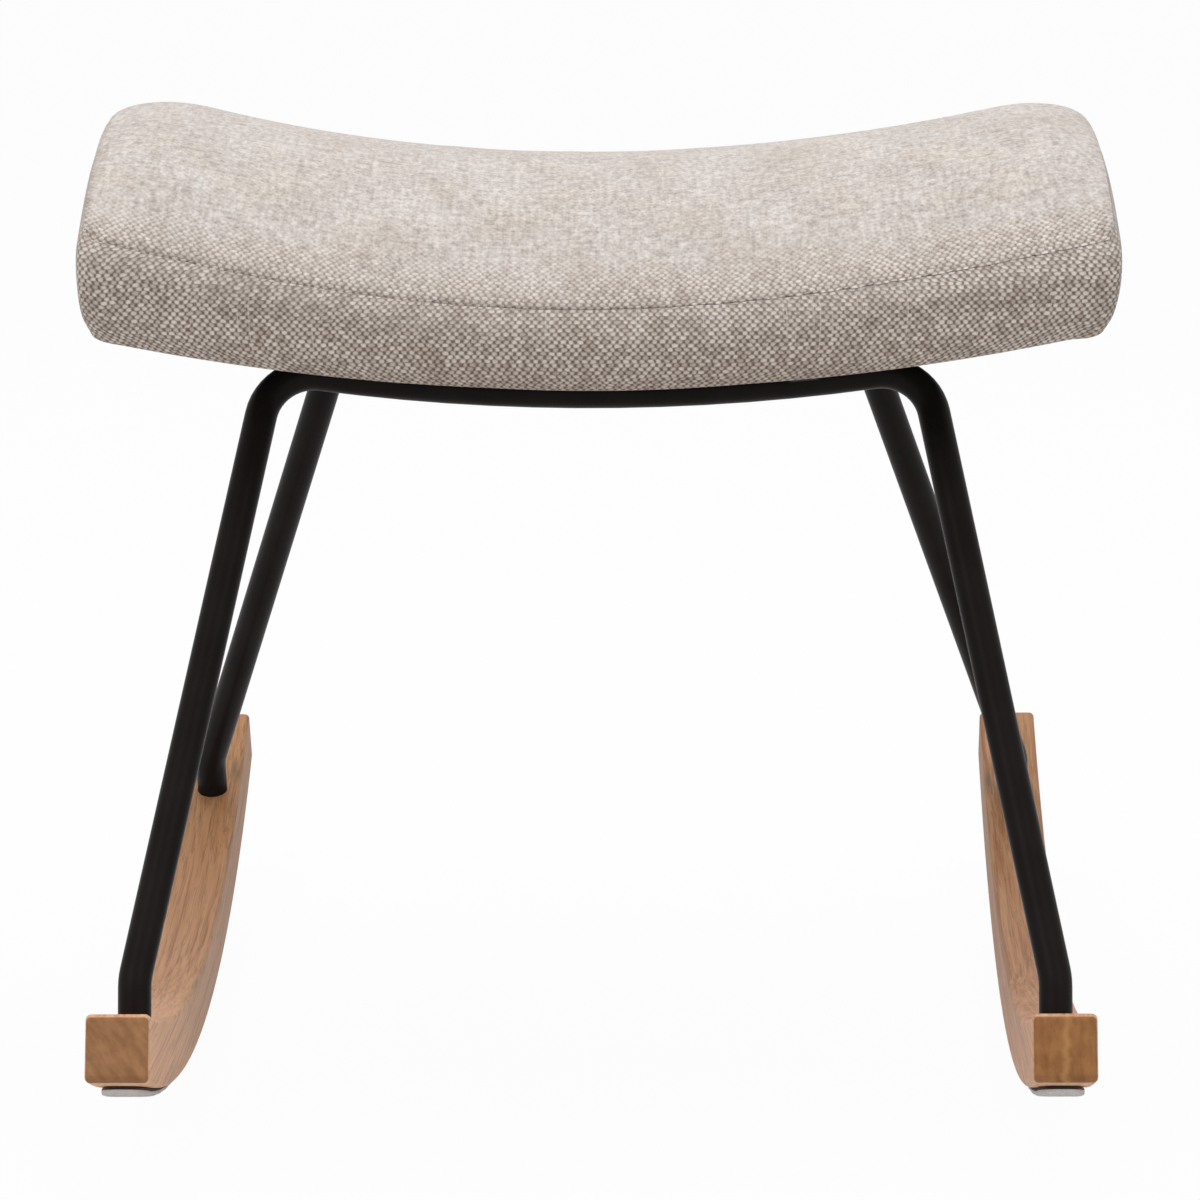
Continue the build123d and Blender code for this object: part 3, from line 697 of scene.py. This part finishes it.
def late_wood(f, wide, length, thick, sway):
    """The dark part of each year's ring: circles about a pith that sways beside the bar."""
    ring_x = f.plus(wide, f.line(sway, 0.020, PITH_BESIDE))
    ring_z = f.line(length, 0.06, f.plus(thick, PITH_BELOW))
    ring = f.times(f.distance(ring_x, ring_z), RINGS_IN_A_METRE)
    return f.spread(f.math("FRACT", ring), 0.35, 1.0, smooth=True)


def end_grain(f, place, wide, z, rocker):
    """Cut end: slanting clouds with small dark pores, and a wavy pale ray on one rocker."""
    slanted = f.add("Mapping", place, None, (0.0, rocker["slant"], 0.0))
    clouded = f.mixture((f.noise(place, 110.0, 3.0), 0.4),
                        (f.drawn_noise(slanted, (240.0, 1.0, 60.0), 4.0, 0.6), 0.6))
    colour = f.blend(f.spread(clouded, 0.40, 0.60), *rocker["end"])
    pore = f.spread(f.noise(place, 1500.0, 2.0), 0.55, 0.7, 0.0, 0.22)
    colour = f.blend(pore, colour, END_PORE_TONE)
    if rocker["ray"] is not None:
        wobble = f.noise(f.add("CombineXYZ", None, None, z), 130.0, 2.0)
        beside = f.math("ABSOLUTE", f.line(wobble, 0.011, f.minus(wide, rocker["ray"])))
        ray = f.spread(beside, 0.0, 0.0030, 0.5, 0.0, smooth=True)
        colour = f.blend(ray, colour, RAY_TONE)
    return colour


def oak(name, rocker):
    """Oak from a crooked plank: the grain runs along Y and bends with the rocker at the rear.

    Streaks, veins and pores are noise drawn out along Y, and the rings sway. The plank
    darkens towards the rear. A knot is a dark bell round a place, broken up by the streaks.
    End grain, where the face looks along Y, drinks more oil: it is darker and smooth. Veins
    and pores weaken where the bar's front faces cut the grain.
    """
    f = Finish(name, Specular_IOR_Level=0.3)
    at = f.place()
    x, y, z = f.parts(at)
    wide, length, thick = plank_place(f, x, y, z, rocker["across"])
    place = f.add("CombineXYZ", wide, length, thick)
    sway = f.drawn_noise(place, (22.0, 3.0, 22.0))
    swayed = f.add("CombineXYZ", f.line(sway, 0.012, wide), length, f.line(sway, 0.016, thick))
    streak = f.drawn_noise(swayed, (330.0, 5.0, 330.0), 4.0, 0.62)
    vein = f.drawn_noise(swayed, (620.0, 5.0, 620.0), 3.0, 0.7, start=(0.3, 0.0, 0.1))
    pore = f.drawn_noise(swayed, (1300.0, 36.0, 1300.0), 2.0)
    cloud = f.drawn_noise(place, (34.0, 7.0, 34.0), 4.0)

    facing = f.math("ABSOLUTE", f.parts(f.add("NewGeometry", out="Normal"))[1])
    end = f.spread(facing, 0.46, 0.64)
    cut = f.times(f.spread(facing, 0.08, 0.3), f.spread(y, -0.02, -0.10))
    whole = f.line(cut, -0.6, 1.0)
    colour = f.blend(f.spread(cloud, 0.3, 0.7), *rocker["plank"])
    late = late_wood(f, wide, length, thick, sway)
    colour = f.blend(f.times(late, 0.32), colour, LATE_WOOD)
    colour = f.blend(f.spread(streak, 0.38, 0.62, 0.0, 0.5), colour, STREAK_TONE)
    colour = f.blend(f.times(f.spread(vein, 0.50, 0.64, 0.0, 0.66), whole), colour, VEIN_TONE)
    colour = f.blend(f.times(f.spread(pore, 0.58, 0.68, 0.0, 0.4), whole), colour, PORE_TONE)
    # darker towards the rear, by what the rear keeps of the plank's tones
    rearward = f.spread(f.line(cloud, 0.16, y), -0.04, 0.24)
    keeps = f.blend(rearward, (1.0, 1.0, 1.0), rocker["rear"])
    colour = f.blend(1.0, colour, keeps, mode="MULTIPLY")

    from_knot = f.add("Mapping", at, rocker["knot"], None, rocker["knot_size"],
                      vector_type="TEXTURE")
    away = f.add("VectorMath", from_knot, operation="LENGTH", out="Value")
    bell = f.spread(away, 1.0, 0.1, smooth=True)
    colour = f.blend(f.times(bell, f.spread(streak, 0.36, 0.58, 0.85, 0.4)), colour, KNOT_TONE)
    colour = f.blend(end, colour, end_grain(f, place, wide, z, rocker))
    height = f.times(f.minus(f.times(streak, 0.4), vein), f.line(end, -0.8, whole))
    return f.shade(Base_Color=colour, Normal=f.bump(height, 0.00014, 0.7),
                   Roughness=f.spread(streak, 0.3, 0.7, 0.45, 0.6))


def powder_coat():
    """Near-black coat with a fine grain in its gloss."""
    f = Finish("black_powder_coat", Specular_IOR_Level=0.05)
    p = f.place()
    grain = f.noise(p, 2600.0, 2.0)
    colour = f.blend(f.spread(f.noise(p, 40.0, 3.0), 0.3, 0.7),
                     (0.0112, 0.0087, 0.0083), (0.0158, 0.0125, 0.0119))
    return f.shade(Base_Color=colour, Roughness=f.spread(grain, 0.3, 0.7, 0.30, 0.42),
                   Normal=f.bump(grain, 0.00008, 0.5))


FELT_DARK_REACH = (0.6815, 0.6818)   # distances from the bend's centre where the felt's dark part ends


def pressed_felt():
    """Pale felt, dark where it lies nearest the bend's centre, next to the oak."""
    f = Finish("pressed_felt", Roughness=1.0, Sheen_Weight=0.3, Specular_IOR_Level=0.1)
    p = f.place()
    _, y, z = f.parts(p)
    reach = f.distance(y, f.minus(FELT_CENTRE_Z_MM * MM, z))
    fibre = f.noise(p, 900.0, 5.0, 0.7, 1.5)
    cloud = f.spread(f.noise(p, 120.0, 3.0), 0.45, 0.8, 0.0, 0.35)
    colour = f.blend(f.spread(fibre, 0.3, 0.7), (0.64, 0.60, 0.58), (0.94, 0.91, 0.885))
    colour = f.blend(cloud, colour, (0.60, 0.56, 0.54))
    # darker where the felt lies nearest the oak
    colour = f.blend(f.spread(reach, *FELT_DARK_REACH, 1.0, 0.0), colour, (0.045, 0.032, 0.028))
    return f.shade(Base_Color=colour, Normal=f.bump(fibre, 0.0006))


def zinc():
    """Bright zinc on the fasteners, with a faint spangle."""
    f = Finish("zinc_plate", Metallic=1.0)
    p = f.place()
    colour = f.blend(f.spread(f.noise(p, 700.0, 2.0), 0.3, 0.7),
                     (0.56, 0.56, 0.55), (0.72, 0.72, 0.70))
    return f.shade(Base_Color=colour, Roughness=f.spread(f.noise(p, 240.0), 0.3, 0.7, 0.28, 0.45),
                   Normal=f.bump(f.noise(p, 3000.0, 2.0), 0.00005, 0.4))


def black_plastic():
    """Moulded plugs with a fine matt grain."""
    f = Finish("moulded_plastic")
    p = f.place()
    grain = f.noise(p, 3200.0, 2.0)
    colour = f.blend(f.noise(p, 90.0), (0.012, 0.012, 0.012), (0.022, 0.022, 0.022))
    return f.shade(Base_Color=colour, Roughness=f.spread(grain, 0.3, 0.7, 0.5, 0.65),
                   Normal=f.bump(grain, 0.00006, 0.6))


VENEER_PAIR = 0.0032              # metres, of one pale and one dark veneer


def plywood():
    """Veneers as bands of the distance from the bow's centre, with grain along x."""
    f = Finish("plywood", Roughness=0.7)
    p = f.place()
    x, _, z = f.parts(p)
    reach = f.distance(x, f.minus(BOW_CENTRE_Z_MM * MM, z))
    layer = f.math("FRACT", f.times(reach, 1 / VENEER_PAIR))
    grain = f.drawn_noise(p, (25.0, 420.0, 420.0), 4.0)
    colour = f.blend(f.spread(grain, 0.3, 0.7), (0.50, 0.33, 0.18), (0.66, 0.48, 0.29))
    colour = f.blend(f.spread(layer, 0.45, 0.55, 0.0, 0.5), colour, (0.34, 0.20, 0.10))
    return f.shade(Base_Color=colour, Normal=f.bump(grain, 0.0002, 0.6))


def foam():
    """Open cells of foam."""
    f = Finish("foam", Roughness=1.0)
    cells = f.add("TexVoronoi", f.place(), None, 900.0)
    colour = f.blend(f.spread(cells, 0.2, 0.8), (0.70, 0.66, 0.48), (0.85, 0.81, 0.64))
    return f.shade(Base_Color=colour, Normal=f.bump(cells, 0.0005, 0.8))


DOT_WAVE = 2100.0                 # radians in a metre, of the dust cloth's bonded dots


def dust_cloth():
    """Non-woven cloth with a grid of small bonded dots: sin(k x) sin(k y)."""
    f = Finish("dust_cloth", Roughness=0.95)
    p = f.place()
    x, y, _ = f.parts(p)
    dots = f.times(f.math("SINE", f.times(x, DOT_WAVE)), f.math("SINE", f.times(y, DOT_WAVE)))
    fibre = f.noise(p, 700.0, 4.0, 0.7, 1.0)
    colour = f.blend(f.spread(fibre, 0.3, 0.7), (0.012, 0.012, 0.012), (0.035, 0.034, 0.033))
    return f.shade(Base_Color=colour, Normal=f.bump(f.line(dots, -0.5, fibre), 0.0003, 0.8))


finishes = {
    "powder_coat": powder_coat(), "felt": pressed_felt(), "zinc_steel": zinc(),
    "black_plastic": black_plastic(), "plywood": plywood(), "foam": foam(),
    "dust_cloth": dust_cloth(), "upholstery": woven_upholstery(),
}
finishes["wadding"] = finishes["foam"]
for side, rocker in ROCKERS.items():
    low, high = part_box("rocker_" + side)
    rocker["across"] = (low[0] + high[0]) / 2
    finishes["rocker_" + side] = oak("rocker_" + side + "_oak", rocker)
for row in frame["record"]["subparts"]:
    mesh = frame["nodes"][row["node"]].data
    mesh.materials.clear()
    mesh.materials.append(finishes.get(row["node"]) or finishes[row["material_slot"]])

# ------------------------------------------------------------------ the cushion
mesh, free = cushion_mesh()
cushion = add_piece("seat_cushion", mesh, finishes["upholstery"])
simulate(cushion, free)
subdivision = cushion.modifiers.new("finer", "SUBSURF")
subdivision.levels = subdivision.render_levels = 1
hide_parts("cover_top", "cover_front_band", "cover_back_band", "cover_end_left",
            "cover_end_right", "wadding", "foam_pad")

# ------------------------------------------------------------------ the felt under the rockers
for side, rocker in ROCKERS.items():
    strip = "felt_strip_" + side
    low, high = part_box(strip)
    end_angle = math.asin(high[1] / ((FELT_RADIUS_MM + FELT_MM[0]) * MM))
    pad = add_piece("felt_pad_" + side, felt_pad(rocker["across"] / MM, end_angle),
                    finishes["felt"])
    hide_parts(strip)

# ------------------------------------------------------------------ studio
FLOOR_HALF = 14.0                 # metres
FLOOR_WHITE = 0.965               # share of plain white in what the camera sees of the floor
AMBIENT = 0.36


def background_rays(tree):
    """1 for the rays that show the background: camera, glossy and transmission rays."""
    rays = tree.nodes.new("ShaderNodeLightPath").outputs
    seen = rays["Is Camera Ray"]
    for name in ("Is Glossy Ray", "Is Transmission Ray"):
        either = tree.nodes.new("ShaderNodeMath")
        either.operation = "MAXIMUM"
        tree.links.new(seen, either.inputs[0])
        tree.links.new(rays[name], either.inputs[1])
        seen = either.outputs[0]
    return seen


def stage_floor():
    """A wide pale floor that the camera sees as nearly white, with the stool's shadow kept."""
    f = Finish("studio_floor", Roughness=0.9)
    tone = f.noise(f.place(), 3.0, 2.0)
    f.shade(Base_Color=f.blend(tone, (0.70, 0.70, 0.70), (0.74, 0.74, 0.74)))
    glow = f.add("Emission", (1.0, 1.0, 1.0), 1.0)
    share = f.times(background_rays(f.tree), FLOOR_WHITE)
    mixed = f.add("MixShader", share, f.shader.outputs[0], glow)
    f.put(f.tree.nodes["Material Output"].inputs["Surface"], mixed)
    mesh = bpy.data.meshes.new("studio_floor")
    half = FLOOR_HALF
    mesh.from_pydata([(-half, -half, 0), (half, -half, 0), (half, half, 0), (-half, half, 0)],
                     [], [(0, 1, 2, 3)])
    mesh.materials.append(f.material)
    floor = bpy.data.objects.new("studio_floor", mesh)
    scene.collection.objects.link(floor)


def studio_world():
    """White where the camera, glossy and clear surfaces see it, and a soft level elsewhere."""
    world = bpy.data.worlds.new("studio")
    scene.world = world
    world.use_nodes = True
    tree = world.node_tree
    tree.nodes.clear()
    mix = tree.nodes.new("ShaderNodeMixShader")
    tree.links.new(background_rays(tree), mix.inputs[0])
    for socket, colour, level in ((mix.inputs[1], (1.0, 0.995, 0.985, 1.0), AMBIENT),
                                  (mix.inputs[2], (1.0, 1.0, 1.0, 1.0), 1.0)):
        light = tree.nodes.new("ShaderNodeBackground")
        light.inputs["Color"].default_value = colour
        light.inputs["Strength"].default_value = level
        tree.links.new(light.outputs[0], socket)
    out = tree.nodes.new("ShaderNodeOutputWorld")
    tree.links.new(mix.outputs[0], out.inputs["Surface"])


def softbox(name, place, aim, size, power):
    """A rectangular lamp at a place, turned to face a point."""
    lamp = bpy.data.lights.new(name, "AREA")
    lamp.shape = "RECTANGLE"
    lamp.size, lamp.size_y = size
    lamp.energy = power
    box = bpy.data.objects.new(name, lamp)
    scene.collection.objects.link(box)
    box.location = place
    box.rotation_mode = "QUATERNION"
    box.rotation_quaternion = (Vector(aim) - Vector(place)).to_track_quat("-Z", "Y")


stage_floor()
studio_world()
softbox("overhead", place=(0.0, 0.3, 2.3), aim=(0.0, 0.0, 0.3), size=(2.4, 1.8), power=40.0)
softbox("front_left", place=(-1.6, -2.2, 1.7), aim=(0.0, 0.0, 0.25), size=(1.4, 1.4), power=15.5)
softbox("front_right", place=(1.6, -2.2, 1.7), aim=(0.0, 0.0, 0.25), size=(1.4, 1.4), power=9.5)

# ------------------------------------------------------------------ camera
CAMERA_PLACE = (0.0651, -2.600, 0.8745)
CAMERA_YAW, CAMERA_PITCH, CAMERA_ROLL = (math.radians(a) for a in (-1.445, 14.085, -0.505))
FOCAL_PIXELS, FRAME_PIXELS, SENSOR = 5317.3, 1200.0, 36.0


def photograph_camera():
    """A long lens from the front, above the seat, that looks down on it."""
    lens = bpy.data.cameras.new("camera")
    lens.sensor_width = SENSOR
    lens.lens = FOCAL_PIXELS / FRAME_PIXELS * SENSOR
    lens.clip_start, lens.clip_end = 0.05, 60.0
    forward = Vector((math.sin(CAMERA_YAW) * math.cos(CAMERA_PITCH),
                      math.cos(CAMERA_YAW) * math.cos(CAMERA_PITCH), -math.sin(CAMERA_PITCH)))
    level = forward.cross(Vector((0, 0, 1))).normalized()
    upright = level.cross(forward)
    c, s = math.cos(CAMERA_ROLL), math.sin(CAMERA_ROLL)
    right, up = level * c + upright * s, upright * c - level * s
    turn = Matrix((right, up, -forward)).transposed().to_4x4()
    camera = bpy.data.objects.new("camera", lens)
    scene.collection.objects.link(camera)
    camera.matrix_world = Matrix.Translation(CAMERA_PLACE) @ turn
    scene.camera = camera


photograph_camera()
scene.view_settings.view_transform = "Standard"
